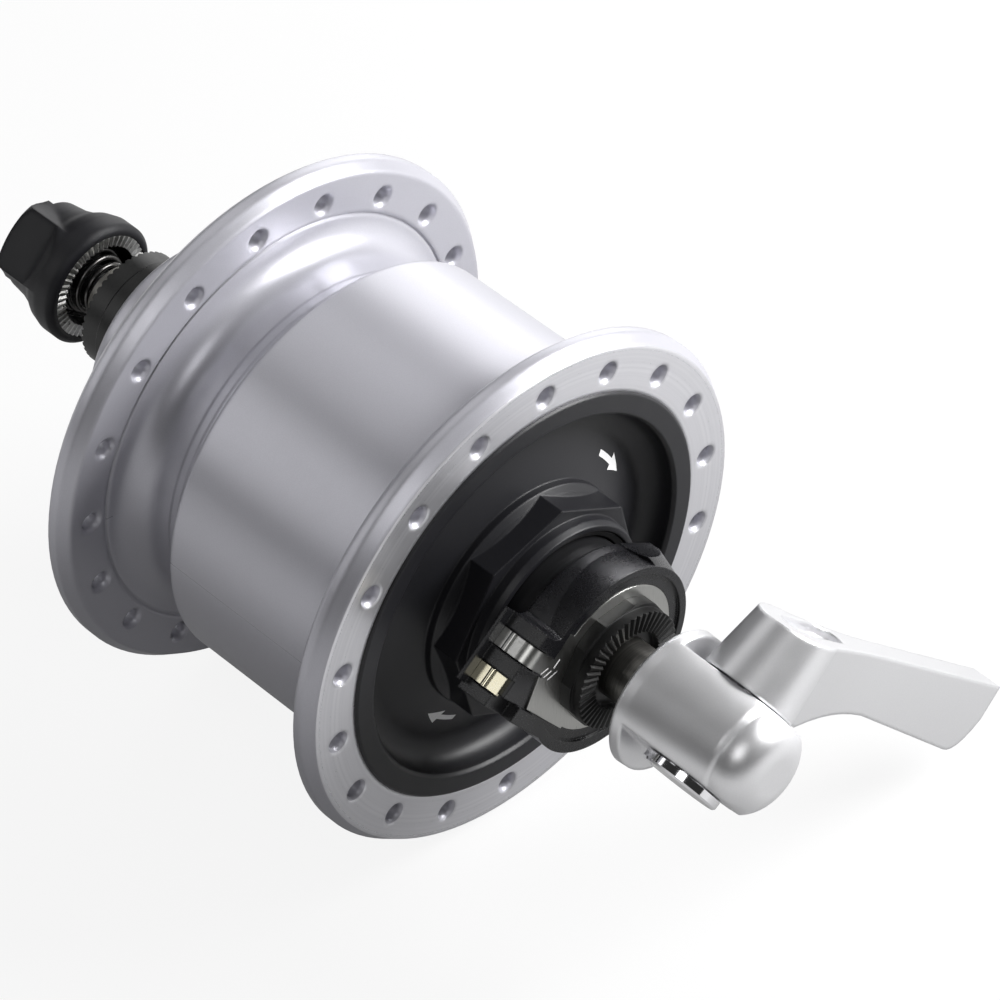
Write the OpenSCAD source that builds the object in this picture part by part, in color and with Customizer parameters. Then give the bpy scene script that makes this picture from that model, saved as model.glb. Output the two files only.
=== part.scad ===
// Bicycle hub dynamo with its quick-release skewer, axle lying along Y.
// The lever and the plug are at the -Y end, which the comments call the front.
// The origin lies on the axle, midway between the two lock nut faces.

/* [Axle] */
// Distance over the two lock nut faces
over_locknuts = 100; // [96:1:110]
// Axle diameter
axle_d = 9; // [8:0.5:10]
// Axle length past each lock nut
axle_stub = 4; // [2:0.5:5]
// Bore through the axle
axle_bore_d = 5.6; // [5.4:0.1:6]
// Height of the front lock nut
front_nut_h = 3.4; // [2.6:0.2:4.4]
// Height of the rear lock nut
rear_nut_h = 8.5; // [6:0.5:10]
// Width of the recess round the axle in a lock nut's face
nut_recess_w = 1.5; // [1:0.1:2]
// Depth of that recess
nut_recess_h = 1.2; // [0.8:0.1:1.6]
// Width of the serrated ring on a lock nut's face
serration_w = 3.1; // [2:0.1:4]
// Serrations on each clamping face
serrations = 48; // [24:2:60]
// Depth of a serration
serration_depth = 0.36; // [0.24:0.02:0.38]

/* [Shell] */
// Outside diameter of the spoke flanges
flange_d = 80; // [77:0.5:90]
// Place of the spoke circle, as a share of the way from the drum to the rim
spoke_share = 0.4048; // [0.35:0.01:0.5]
// Spoke holes in each flange
spokes = 18; // [14:1:20]
// Diameter of a spoke hole
spoke_hole_d = 2.6; // [2.2:0.1:3]
// Width of the countersink round a spoke hole
spoke_sink = 0.5; // [0.2:0.1:0.8]
// Thickness of a spoke flange
flange_t = 4; // [3:0.2:5]
// Bevel on a flange's rim
flange_bevel = 1.2; // [0.6:0.1:1.6]
// Outer face of the front flange, from the centre
front_face = 30.6; // [28:0.2:34]
// Inner face of the rear flange, from the centre
rear_face = 18.4; // [16:0.2:22]
// Diameter of the drum
body_d = 63.2; // [59:0.2:65]
// Wall of the drum
body_wall = 2.3; // [1.8:0.1:2.8]
// Rear edge of the drum, from the centre
body_back = 6.6; // [4:0.2:8]
// Diameter of the waist behind the drum
waist_d = 54.8; // [52:0.2:57]
// Fillet from the waist to the rear flange
waist_fillet = 4.6; // [3:0.2:5]
// End of the rear boss, from the centre
boss_end = 39.8; // [37:0.2:41]
// Wall of the rear boss outside its seal
boss_wall = 3; // [2:0.2:4]

/* [Front cover] */
// Lip of the cover over the drum's bore
cover_lip = 2.6; // [2:0.1:3.5]
// Width of the flat ring round the dish
cover_ring_w = 3.1; // [2:0.1:4]
// Depth of the dish's round channel
dish_depth = 4.4; // [3:0.2:5]
// Radius of that channel
dish_r = 3; // [2:0.25:3.5]
// Height of the octagon above the flange face
octagon_h = 4.1; // [3:0.2:5]
// Height of the round collar above the octagon
collar_h = 2.3; // [1.5:0.1:3]
// Wall of the octagon outside the collar
octagon_wall = 0.8; // [0.4:0.1:1.5]

/* [Bearings] */
// Diameter of a bearing ball
ball_d = 4.76; // [4:0.02:5]
// Balls in each bearing
balls = 9; // [7:1:9]
// Clearance of a ball in its track
race_gap = 0.04; // [0.02:0.01:0.08]
// Wall of a bearing cone outside the axle
cone_wall = 3.7; // [3:0.1:4.4]
// Wall of a bearing cup outside the balls
cup_wall = 1; // [0.8:0.1:1.4]
// Running gap between a seal and its dust cap
seal_gap = 0.3; // [0.2:0.05:0.4]

/* [Generator] */
// Thickness of the steel ring behind the magnets
iron_t = 1.5; // [1:0.1:2]
// Thickness of a magnet
magnet_t = 4; // [3:0.2:5]
// Air gap between the magnets and the claws
air_gap = 0.5; // [0.3:0.05:0.8]
// Claws on each half of the stator
claws = 14; // [8:1:16]
// Thickness of a claw and of its disc
claw_t = 1.8; // [1.4:0.1:2.2]
// Wall of the iron core round the axle
core_wall = 4.5; // [3:0.25:6]

/* [Plug] */
// Height of the plug housing
plug_h = 6; // [5:0.25:7]
// Radius of the housing round the axle
plug_r = 14.3; // [13.5:0.1:15]
// Height of the rim round its face
plug_rim_h = 0.9; // [0.5:0.1:1.5]
// Width of that rim
plug_rim_w = 1.2; // [0.8:0.1:2]
// Reach of the terminal block from the axle
block_reach = 17.9; // [17:0.1:19]
// Ledge behind the terminals
block_ledge = 1.7; // [1:0.1:3]
// Thickness of the terminal plate
plate_t = 0.6; // [0.4:0.1:1]
// Radius of the terminal plate
plate_r = 11.3; // [10.5:0.1:12]
// Width of a terminal
terminal_w = 2.7; // [2:0.1:3]

/* [Quick release] */
// Diameter of the skewer rod
rod_d = 5; // [4.6:0.1:5.2]
// Gap for a fork end between lock nut and clamping face
fork_gap = 6.2; // [5.5:0.1:8]
// Diameter of the cam housing's clamping flange
housing_d = 21; // [19:0.25:24]
// Length of the cam housing
housing_l = 21; // [20.5:0.25:24]
// Distance between the flats of the cam housing
housing_flats = 13.2; // [12.5:0.1:14]
// Throw of the cam
cam_throw = 1; // [0.6:0.1:1.2]
// Length of the lever from its pivot to its tip
lever_l = 54.5; // [45:0.5:65]
// Thickness of the lever's arm
arm_t = 5; // [3:0.2:6]
// Slope of the lever's outer edge
arm_rise = 15; // [10:1:18]
// Diameter of the skewer nut at its rim
cap_d = 19.5; // [18:0.25:22]
// Length of the skewer nut
cap_l = 13; // [12.5:0.5:16]
// Wire diameter of the cone springs
spring_wire = 0.8; // [0.6:0.05:0.9]

/* [Hidden] */
$fn = 96;
// Angles round the axle, from +X towards +Z
front_hole_angle = 4.3;
rear_hole_angle = 14.3;
plug_angle = 126.9;
lever_angle = 30.8;
cap_angle = 135;
octagon_angle = 35.7;
// Clearances of a turning fit, of loose moving faces and of a seat
running = 0.05;
loose = 0.3;
// Overlap of a cutter past the face that it cuts
past = 1;
axle_r = axle_d / 2;
nut_face = over_locknuts / 2;
axle_end = nut_face + axle_stub;
nut_recess_r = axle_r + nut_recess_w;
nut_face_r = nut_recess_r + serration_w;
flange_r = flange_d / 2;
body_r = body_d / 2;
bore_r = body_r - body_wall;
waist_r = waist_d / 2;
// Bearings
ball_r = ball_d / 2;
track_r = ball_r + race_gap;
cone_r = axle_r + cone_wall;
path_r = cone_r + 0.59 * ball_r;
cup_r = path_r + track_r + cup_wall;
cup_back = 1.4 * ball_r;
cup_front = 0.85 * ball_r;
seal_r = cup_r + 1;
dust_r = cup_r - 0.4;
dust_from = 1.6 * ball_r;
web_bore_r = cone_r + 0.7;
web_t = 1.7;
front_ball = front_face - 1.1;
rear_ball = boss_end - 6.8;
// Front cover
cover_r = bore_r + cover_lip;
cover_t = 2.5;
ring_face = front_face + 0.4;
dish_wall_r = cover_r - cover_ring_w - 0.4;
collar_r = seal_r + 1.2;
octagon_r = collar_r + octagon_wall;
octagon_corner = octagon_r / cos(22.5);
octagon_foot_r = octagon_corner + 0.2;
octagon_foot = front_face - 0.4;
octagon_top = front_face + octagon_h;
collar_top = octagon_top + collar_h;
cover_back = front_ball - cup_back - web_t;
// Rear boss
boss_r = seal_r + boss_wall;
drum_end = 4.6;
drum_floor = body_back - drum_end;
rear_cone_w = 11;
rear_cone_from = 4;
rear_cone_to = 11.6;
rear_neck = 13;
// Generator
claw_gap_angle = 4;
sleeve_wall = 2.3;
iron_r = bore_r - iron_t;
magnet_r = iron_r - magnet_t;
claw_r = magnet_r - air_gap;
coil_r = claw_r - claw_t - 1.2;
core_r = axle_r + core_wall;
bobbin_wall = 0.8;
stator_back = drum_floor - 1.4;
stator_front = cover_back - 1.5;
coil_back = -stator_back + claw_t;
coil_front = stator_front - claw_t;
// Plug
spoke_r = body_d / 2 + spoke_share * (flange_d - body_d) / 2;
plug_front = nut_face - front_nut_h - plate_t;
plug_back = plug_front - plug_h;
rim_top = plug_front + plug_rim_h;
plug_draft = 0.7;
plug_bulge = 0.55;
bulge_angle = -110;
ear_angle = 30;
ear_half = 25;
ear_r = plug_r + 0.4;
scoop_depth = 0.8;
block_side = plug_r - 0.2;
block_inner = 1.7;
block_fillet = 2.6;
first_terminal = 4;
second_terminal = 9.4;
plateau = first_terminal + terminal_w + 0.3;
terminal_t = plate_t;
bead_r = terminal_t - 0.1;
fold_r = 1.6;
ledge_t = 0.6;
slot_floor = block_reach - 0.9;
slot_w = terminal_w + 0.4;
plate_corner = plate_r + 1.6;
corner_cut = 2.2;
rail = plate_r + 0.5;
// Quick release
rod_r = rod_d / 2;
clamp_face = nut_face + fork_gap;
housing_r = housing_d / 2;
housing_flange = clamp_face + 2.2;
housing_end = clamp_face + housing_l;
flat_c = housing_flats / 2;
pivot = clamp_face + 10;
journal_r = 4;
cam_head_r = 1.5 * journal_r;
cam_head_t = 1.6;
cam_head_bevel = 0.3;
head_gap = 0.25;
eccentric_r = journal_r - cam_throw - 0.1;
eye_c = 3;
eye_n = eccentric_r + cam_throw + 1.4;
eye_z = eccentric_r + 2.6;
eye = pivot + cam_throw;
cavity_back = eye - eye_z - 2 * cam_throw - loose;
cavity_front = eye + eye_z + 0.6;
hub_foot = flat_c + head_gap;
hub_foot_r = 7.2;
hub_top = 18.1;
hub_top_r = 5.6;
arm_waist = [8.3, 23.5];
arm_pull = [6.2, 15.8];
arm_heel = [12.5, 4];
arm_toe = 5.5;
spring_seat_h = 0.8;
wing_reach = 2.1;
wing_cut = 1.4;
cap_core_r = cap_d / 2 - wing_reach;
wing_flat = cap_d / 2 - wing_cut;
wing_half = wing_flat * tan(30);
insert_r = cap_d / 2 - 1.5;
insert_recess_r = insert_r - 1.8;
insert_recess_h = 4;
insert_floor = 1;
insert_wall = 2;
insert_rim_h = insert_recess_h + insert_floor;
insert_boss_r = rod_r + insert_wall;
insert_l = 9.6;
rod_end = clamp_face + insert_l + 0.2;
magnets = 4;

// Stands the work on its axle: local Z becomes -Y and local Y becomes Z.
module on_axle() {
    rotate([90, 0, 0]) children();
}

// The same at the rear end, where local Z then points along +Y and angles run the other way.
module on_axle_rear() {
    rotate([-90, 0, 0]) children();
}

// A ring between two radii and two heights.
module ring(inner, outer, from, to) {
    translate([0, 0, from]) difference() {
        cylinder(h = to - from, r = outer);
        translate([0, 0, -past]) cylinder(h = to - from + 2 * past, r = inner);
    }
}

// Turned fillet in the corner between a wall of radius wall_r and a face at height z.
// It laps into both, and stands on the face, or hangs below it where up is -1.
module fillet(wall_r, z, r, up) {
    lap = 0.5;
    rotate_extrude() difference() {
        translate([wall_r - lap, up > 0 ? z - lap : z - r]) square(r + lap);
        translate([wall_r + r, z + up * r]) circle(r);
    }
}

// Radial grooves in a face at height z that looks towards Z times out,
// cut by square bars that lie on edge and stand proud of it.
module serration_cuts(z, inner, outer, out) {
    proud = 0.2;
    side = (serration_depth + proud) * sqrt(2);
    for (i = [0 : serrations - 1]) {
        rotate((i + 0.5) * 360 / serrations) translate([(inner + outer) / 2, 0, z + out * proud])
            rotate([45, 0, 0]) cube([outer - inner + past, side, side], center = true);
    }
}

// Round-ended slot outline along X.
module slot_2d(l, r) {
    translate([0, -r]) square([l, 2 * r]);
    circle(r);
    translate([l, 0]) circle(r);
}

// Hollow axle, turned from one bar.
module axle() {
    color("#55565a") on_axle() difference() {
        translate([0, 0, -axle_end]) cylinder(h = 2 * axle_end, r = axle_r);
        translate([0, 0, -axle_end - past]) cylinder(h = 2 * (axle_end + past), r = axle_bore_d / 2);
    }
}

// Bearing cone: its track faces inwards, its tail runs out to the stack at height end.
module cone(ball, end) {
    rotate_extrude() difference() {
        translate([axle_r, ball - 0.85 * ball_r]) square([cone_r - axle_r, end - ball + 0.85 * ball_r]);
        translate([path_r, ball]) circle(track_r);
        translate([path_r - track_r, ball - ball_r]) square(ball_r);
    }
}

module front_cone() {
    color("#8c8d90") on_axle() cone(front_ball, plug_back);
}

module rear_cone() {
    color("#8c8d90") on_axle_rear() cone(rear_ball, nut_face - rear_nut_h);
}

// Bearing cup: its track faces outwards, open at the front.
module cup(ball) {
    rotate_extrude() difference() {
        translate([web_bore_r, ball - cup_back]) square([cup_r - web_bore_r, cup_back + cup_front]);
        translate([path_r, ball]) circle(track_r);
        translate([web_bore_r - past, ball]) square([path_r + track_r - web_bore_r + past, ball_d]);
    }
}

module front_cup() {
    color("#8c8d90") on_axle() cup(front_ball);
}

module rear_cup() {
    color("#8c8d90") on_axle_rear() cup(rear_ball);
}

// One bearing's balls.
module ball_set(ball) {
    for (i = [0 : balls - 1]) {
        rotate(i * 360 / balls) translate([path_r, 0, ball]) sphere(ball_r);
    }
}

module front_balls() {
    color("#b8babd") on_axle() ball_set(front_ball);
}

module rear_balls() {
    color("#b8babd") on_axle_rear() ball_set(rear_ball);
}

// Ring with pockets that spaces the balls.
module retainer(ball) {
    difference() {
        ring(cone_r + loose, path_r + 0.5 * ball_r, ball + 0.4 * ball_r, ball + track_r + 0.4);
        for (i = [0 : balls - 1]) {
            rotate(i * 360 / balls) translate([path_r, 0, ball]) sphere(track_r);
        }
    }
}

module front_retainer() {
    color("#a8874a") on_axle() retainer(front_ball);
}

module rear_retainer() {
    color("#a8874a") on_axle_rear() retainer(rear_ball);
}

// Seal ring pressed in the boss, with its lip drawn in towards the dust cap.
module seal(from, to) {
    rotate_extrude() polygon([[dust_r + seal_gap, to - 0.4], [dust_r + seal_gap, to - 1.2],
        [dust_r + 0.7, from], [seal_r, from], [seal_r, to - 0.3], [seal_r - 0.3, to]]);
}

module front_seal() {
    color("#1b1b1d") on_axle() seal(front_ball + dust_from + loose, collar_top - 0.3);
}

module rear_seal() {
    color("#1b1b1d") on_axle_rear() seal(rear_ball + dust_from + loose, boss_end - 0.3);
}

// Cap on the cone's tail that keeps dirt off the seal.
module dust_cap(from, to) {
    rotate_extrude() polygon([[cone_r, from], [dust_r, from], [dust_r, to - 0.8], [dust_r - 0.8, to],
        [cone_r, to]]);
}

module front_dust_cap() {
    color("#202124") on_axle() dust_cap(front_ball + dust_from, plug_back);
}

module rear_dust_cap() {
    color("#202124") on_axle_rear() dust_cap(rear_ball + dust_from, nut_face - rear_nut_h);
}

// Stator: iron core, two discs with interleaved claws, bobbin and winding.
module stator_core() {
    color("#77787c") on_axle() ring(axle_r, core_r, coil_back, coil_front);
}

// Disc at height from, with claws that reach to height reach.
module claw_half(from, to, reach, turn) {
    width = 180 / claws - claw_gap_angle;
    ring(axle_r, claw_r - 0.4 * claw_t, from, to);
    low = min(from, reach);
    high = max(to, reach);
    for (i = [0 : claws - 1]) {
        rotate(turn + i * 360 / claws) rotate_extrude(angle = width) translate([claw_r - claw_t, low])
            square([claw_t, high - low]);
    }
}

module front_claws() {
    color("#77787c") on_axle() claw_half(coil_front, stator_front, coil_back + 0.6, 0);
}

module rear_claws() {
    color("#77787c") on_axle() claw_half(-stator_back, coil_back, coil_front - 0.6, 180 / claws);
}

module bobbin() {
    color("#c9c4b4") on_axle() rotate_extrude() polygon([[core_r, coil_back], [coil_r, coil_back],
        [coil_r, coil_back + 1], [core_r + bobbin_wall, coil_back + 1],
        [core_r + bobbin_wall, coil_front - 1], [coil_r, coil_front - 1], [coil_r, coil_front],
        [core_r, coil_front]]);
}

module coil() {
    color("#b06a3a") on_axle()
        ring(core_r + bobbin_wall, coil_r - 0.5, coil_back + 1, coil_front - 1);
}

module stator_sleeve() {
    color("#77787c") on_axle()
        ring(axle_r, axle_r + sleeve_wall, stator_front, front_ball - 0.85 * ball_r);
}

module stator_nut() {
    nut_h = 0.9 * axle_r;
    color("#77787c") on_axle() translate([0, 0, -stator_back - nut_h]) difference() {
        cylinder(h = nut_h, r = axle_r + 1.25 * nut_h, $fn = 6);
        translate([0, 0, -past]) cylinder(h = nut_h + 2 * past, r = axle_r);
    }
}

// Spoke holes: a through hole with a countersink at each mouth.
module spoke_holes(low, high, turn) {
    r = spoke_hole_d / 2;
    for (i = [0 : spokes - 1]) {
        rotate(turn + i * 360 / spokes) translate([spoke_r, 0, 0]) {
            translate([0, 0, low - past]) cylinder(h = high - low + 2 * past, r = r);
            translate([0, 0, high - spoke_sink])
                cylinder(h = 2 * spoke_sink, r1 = r, r2 = r + 2 * spoke_sink);
            translate([0, 0, low - spoke_sink])
                cylinder(h = 2 * spoke_sink, r1 = r + 2 * spoke_sink, r2 = r);
        }
    }
}

// Outline of the shell from the axle out, front at the top.
module shell_outline() {
    back = rear_face + flange_t;
    polygon([[0, front_face], [flange_r - flange_bevel, front_face],
        [flange_r, front_face - 1.6 * flange_bevel], [flange_r, front_face - flange_t + 0.8],
        [flange_r - 0.8, front_face - flange_t], [body_r, front_face - flange_t],
        [body_r, -body_back + 0.5], [body_r - 0.5, -body_back], [waist_r + 1.3, -body_back],
        [waist_r + 1.1, -body_back - 2.2], [waist_r + 0.5, -body_back - 2.5],
        [waist_r + 0.4, -body_back - 4], [waist_r, -body_back - 4.4], [waist_r, -rear_face],
        [flange_r - flange_bevel, -rear_face], [flange_r, -rear_face - 1.4 * flange_bevel],
        [flange_r, -back + 0.8], [flange_r - 0.8, -back], [spoke_r - spoke_hole_d, -back - 0.2],
        [boss_r + rear_cone_w, -back - rear_cone_from], [boss_r + 1.6, -back - rear_cone_to],
        [boss_r + 0.4, -back - rear_neck],
        [boss_r + 0.3, -boss_end + 2.8], [boss_r, -boss_end + 2.6], [boss_r, -boss_end + 0.6],
        [boss_r - 0.6, -boss_end], [0, -boss_end]]);
}

// Room inside the shell: seat of the cover, drum, cone, bearing and seal.
module shell_cavity() {
    polygon([[0, front_face + past], [cover_r, front_face + past], [cover_r, ring_face - cover_t],
        [bore_r, ring_face - cover_t], [bore_r, -drum_floor], [waist_r - 3, -drum_floor],
        [waist_r - 3, -body_back - 5.4], [cup_r - 1, -rear_ball + cup_back + web_t],
        [web_bore_r, -rear_ball + cup_back + web_t], [web_bore_r, -rear_ball + cup_back],
        [cup_r, -rear_ball + cup_back], [cup_r, -rear_ball - dust_from - loose],
        [seal_r, -rear_ball - dust_from - loose], [seal_r, -boss_end - past], [0, -boss_end - past]]);
}

// Die-cast shell: drum, two spoke flanges, waist and rear boss.
module hub_shell() {
    color("#c6c7cc") on_axle() difference() {
        union() {
            rotate_extrude() shell_outline();
            fillet(body_r, front_face - flange_t, 1.8, -1);
            fillet(waist_r, -rear_face, waist_fillet, 1);
        }
        rotate_extrude() shell_cavity();
        rotate_extrude() translate([waist_r + waist_fillet + 0.2, -rear_face - 0.3]) square([0.4, past]);
        spoke_holes(front_face - flange_t, front_face, front_hole_angle);
        spoke_holes(-rear_face - flange_t, -rear_face, rear_hole_angle);
    }
}

// Front cover: flat ring, round channel, cone and octagon boss with its collar.
module front_cover() {
    color("#232427") on_axle() difference() {
        union() {
            rotate_extrude() difference() {
                polygon([[web_bore_r, cover_back], [bore_r, cover_back], [bore_r, ring_face - cover_t],
                    [cover_r, ring_face - cover_t], [cover_r, ring_face - 0.3],
                    [cover_r - 0.3, ring_face], [web_bore_r, ring_face]]);
                dish_2d();
            }
            translate([0, 0, cover_back]) cylinder(h = octagon_foot - cover_back, r = octagon_foot_r);
            translate([0, 0, octagon_foot])
                cylinder(h = 1.4, r1 = octagon_foot_r, r2 = octagon_foot_r - 1.9);
            rotate(octagon_angle) translate([0, 0, cover_back])
                cylinder(h = octagon_top - cover_back, r = octagon_corner, $fn = 8);
            translate([0, 0, octagon_top - past]) cylinder(h = past + 0.6 * collar_h, r = collar_r);
            translate([0, 0, octagon_top + 0.6 * collar_h])
                cylinder(h = 0.4 * collar_h, r1 = collar_r, r2 = collar_r - 0.4);
        }
        translate([0, 0, cover_back - past]) cylinder(h = web_t + 2 * past, r = web_bore_r);
        translate([0, 0, cover_back + web_t]) cylinder(h = collar_top, r = cup_r);
        translate([0, 0, front_ball + dust_from + loose]) cylinder(h = collar_top, r = seal_r);
    }
}

// Space of the dish above the cover's floor.
module dish_2d() {
    low = ring_face - dish_depth;
    channel = dish_wall_r - dish_r;
    polygon([[octagon_foot_r - past, octagon_foot - 0.8], [channel - 0.35 * dish_r, low + 0.06 * dish_r],
        [dish_wall_r, low + dish_r], [dish_wall_r, ring_face - 0.5], [dish_wall_r + 0.5, ring_face + 0.1],
        [octagon_foot_r - past, ring_face + 0.1]]);
    translate([channel, low + dish_r]) circle(dish_r);
}

module magnet_ring() {
    color("#6a6b70") on_axle() ring(iron_r, bore_r, -drum_floor, stator_front);
}

// One of the curved magnets inside that ring.
module magnet(i) {
    color("#3c3b3d") on_axle() rotate((i - 1) * 360 / magnets)
        rotate_extrude(angle = 360 / magnets - 2) translate([magnet_r, -drum_floor])
            square([magnet_t, stator_front + drum_floor]);
}

// Plug housing: round body that narrows to the back, with an ear and the block of the terminals.
module plug_housing() {
    color("#26272b") on_axle() rotate(plug_angle) difference() {
        union() {
            translate([0, 0, plug_back])
                cylinder(h = rim_top - plug_back, r1 = plug_r - plug_draft, r2 = plug_r);
            translate([0, 0, plug_back]) linear_extrude(rim_top - plug_back) plug_outline();
            plug_ear();
            translate([block_reach - past, block_inner, plug_back])
                cube([block_ledge + past, block_side - block_inner - 1, ledge_t]);
        }
        translate([0, 0, plug_back - past]) cylinder(h = plug_h + 4, r = axle_r);
        translate([0, 0, plug_front + 0.5]) linear_extrude(plug_rim_h) circle(plug_r - plug_rim_w);
        translate([0, 0, plug_front]) linear_extrude(plug_rim_h + past) plate_2d();
        for (side = [first_terminal, second_terminal]) {
            translate([slot_floor, side - (slot_w - terminal_w) / 2, plug_back + ledge_t])
                cube([block_ledge + past, slot_w, plug_h + past]);
        }
        fold_room();
        translate([plate_r - 2, plateau, plug_front + plate_t / 2])
            cube([block_reach, rail - plateau, plug_rim_h + past]);
        translate([plate_corner, rail, plug_front - plug_rim_h])
            cube([block_reach, block_side, plug_h]);
        finger_scoop();
    }
}

// Outline of the plug: bulge below, block and the fillet between the block and the round body.
module plug_outline() {
    back_r = plug_r - plug_draft - 0.2;
    fillet_x = sqrt(pow(back_r + block_fillet, 2) - pow(block_inner - block_fillet, 2));
    rotate(bulge_angle - plug_angle) translate([plug_bulge, 0]) circle(plug_r);
    translate([0, block_inner]) square([block_reach, block_side - block_inner]);
    difference() {
        translate([0, block_inner - block_fillet]) square([fillet_x, block_fillet + past]);
        translate([fillet_x, block_inner - block_fillet]) circle(block_fillet);
    }
}

// Ear: a corner between two flats that runs out into the round rim at the front.
module plug_ear() {
    corner_r = ear_r / cos(ear_half);
    rotate(ear_angle - plug_angle) translate([0, 0, plug_back]) intersection() {
        linear_extrude(rim_top - plug_back) polygon([[plug_r / 2, 0], ear_r * [cos(ear_half), sin(ear_half)],
            [corner_r, 0], ear_r * [cos(ear_half), -sin(ear_half)]]);
        cylinder(h = rim_top - plug_back, r1 = corner_r + 0.2, r2 = plug_r - 0.1);
    }
}

// Hollow for a finger in the upper flat of the ear, deepest at the back.
module finger_scoop() {
    run = plug_h - plug_rim_h;
    scoop_r = (run * run + scoop_depth * scoop_depth) / (2 * scoop_depth);
    rotate(ear_angle + ear_half - plug_angle) translate([ear_r - scoop_depth + scoop_r, 0, plug_back])
        rotate([90, 0, 0]) cylinder(h = 2 * plug_r, r = scoop_r, center = true);
}

// Room over the block's edge for the first terminal's fold.
module fold_room() {
    translate([slot_floor - fold_r, first_terminal, plug_front - fold_r]) difference() {
        translate([0, (terminal_w - slot_w) / 2, 0]) cube([block_reach, slot_w, plug_h]);
        translate([0, -slot_w, 0]) rotate([-90, 0, 0]) cylinder(h = 3 * slot_w, r = fold_r);
    }
}

// Face of the terminal plate: round, with one cut corner and the first terminal's tongue.
module plate_2d() {
    circle(plate_r);
    polygon([[0, 0], [plate_corner, 0], [plate_corner, first_terminal + terminal_w + 0.4],
        [plate_corner - corner_cut, plate_r + 0.3], [0, plate_r + 0.3]]);
    translate([0, first_terminal]) square([slot_floor - fold_r, terminal_w]);
}

// Terminal plate with its tongue folded down over the block.
module terminal_plate() {
    color("#8f8f8c") on_axle() rotate(plug_angle) {
        difference() {
            translate([0, 0, plug_front]) linear_extrude(plate_t) plate_2d();
            translate([0, 0, plug_front - past]) cylinder(h = plate_t + 2 * past, r = axle_r);
        }
        translate([slot_floor - fold_r, first_terminal + terminal_w, plug_front - fold_r]) rotate([90, 0, 0])
            rotate_extrude(angle = 90) translate([fold_r, 0]) square([terminal_t, terminal_w]);
        terminal_strip(first_terminal, plug_front - fold_r);
    }
}

// Strip that lies down the block's end face, with a round contact bead across it.
module terminal_strip(side, top) {
    bottom = plug_back + ledge_t;
    translate([slot_floor, side, bottom]) cube([terminal_t, terminal_w, top - bottom]);
    translate([slot_floor + terminal_t, side, (top + bottom) / 2]) rotate([-90, 0, 0])
        cylinder(h = terminal_w, r = bead_r);
}

module live_terminal() {
    color("#b5ad8e") on_axle() rotate(plug_angle) terminal_strip(second_terminal, plug_front - terminal_t);
}

// Front lock nut: flats below, a round serrated face above.
module front_locknut() {
    base = nut_face - front_nut_h;
    color("#1f2023") on_axle() difference() {
        union() {
            translate([0, 0, base]) intersection() {
                cylinder(h = 0.55 * front_nut_h, r = nut_face_r / cos(30) + 0.1, $fn = 6);
                cylinder(h = 0.55 * front_nut_h, r = nut_face_r + 0.5);
            }
            translate([0, 0, base]) cylinder(h = front_nut_h, r = nut_face_r);
        }
        translate([0, 0, base - past]) cylinder(h = front_nut_h + 2 * past, r = axle_r);
        translate([0, 0, nut_face - nut_recess_h]) cylinder(h = front_nut_h, r = nut_recess_r);
        serration_cuts(nut_face, nut_recess_r, nut_face_r, 1);
    }
}

// Rear lock nut: a tall round nut that narrows to the same serrated face.
module rear_locknut() {
    base = nut_face - rear_nut_h;
    wide_h = 0.6 * rear_nut_h;
    wide_r = nut_face_r + 0.4;
    color("#1f2023") on_axle_rear() difference() {
        union() {
            translate([0, 0, base]) cylinder(h = wide_h, r = wide_r);
            translate([0, 0, base + wide_h]) cylinder(h = 0.4, r1 = wide_r, r2 = nut_face_r);
            translate([0, 0, base]) cylinder(h = rear_nut_h, r = nut_face_r);
        }
        translate([0, 0, base - past]) cylinder(h = rear_nut_h + 2 * past, r = axle_r);
        translate([0, 0, nut_face - nut_recess_h]) cylinder(h = rear_nut_h, r = nut_recess_r);
        serration_cuts(nut_face, nut_recess_r, nut_face_r, 1);
    }
}

// Skewer rod with the eye that the cam turns in.
module skewer_rod() {
    color("#8d8f93") on_axle() rotate(lever_angle) {
        translate([0, 0, -rod_end]) cylinder(h = rod_end + eye - eye_z + past, r = rod_r);
        difference() {
            translate([-eye_c, -eye_n, eye - eye_z]) cube([2 * eye_c, 2 * eye_n, 2 * eye_z]);
            translate([-eye_c - past, 0, eye]) rotate([90, 0, 90])
                linear_extrude(2 * (eye_c + past)) translate([-cam_throw - 0.1, 0])
                    slot_2d(2 * (cam_throw + 0.1), eccentric_r + loose);
        }
    }
}

// Cam housing: clamping flange, tapered body with two flats and a round-edged end.
module cam_housing() {
    color("#bdbdc0") on_axle() rotate(lever_angle) difference() {
        intersection() {
            rotate_extrude() housing_outline();
            translate([0, housing_r + past, 0]) rotate([90, 0, 0])
                linear_extrude(2 * (housing_r + past)) housing_side_2d();
        }
        translate([0, 0, clamp_face - past]) cylinder(h = eye_z, r = rod_r + running);
        translate([0, 0, clamp_face - past]) cylinder(h = spring_seat_h + past, r = insert_recess_r);
        translate([-eye_c - loose, -eye_n - loose, cavity_back])
            cube([2 * (eye_c + loose), 2 * (eye_n + loose), cavity_front - cavity_back]);
        translate([-housing_r, 0, pivot]) rotate([0, 90, 0])
            cylinder(h = housing_d, r = journal_r + running);
    }
}

// Half of the housing's turned outline: foot, long taper, crease and domed end.
module housing_outline() {
    dome_r = 5;
    end_r = housing_r - 2.6;
    crease = housing_end - 4.4;
    difference() {
        union() {
            polygon([[0, clamp_face], [housing_r - 0.6, clamp_face], [housing_r, clamp_face + 0.6],
                [housing_r - 0.1, housing_flange], [end_r + 0.5, crease], [end_r, housing_end - dome_r],
                [0, housing_end - dome_r]]);
            housing_dome(end_r, dome_r);
        }
        translate([end_r + 1.6, crease + 0.4]) circle(1.6);
    }
}

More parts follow.
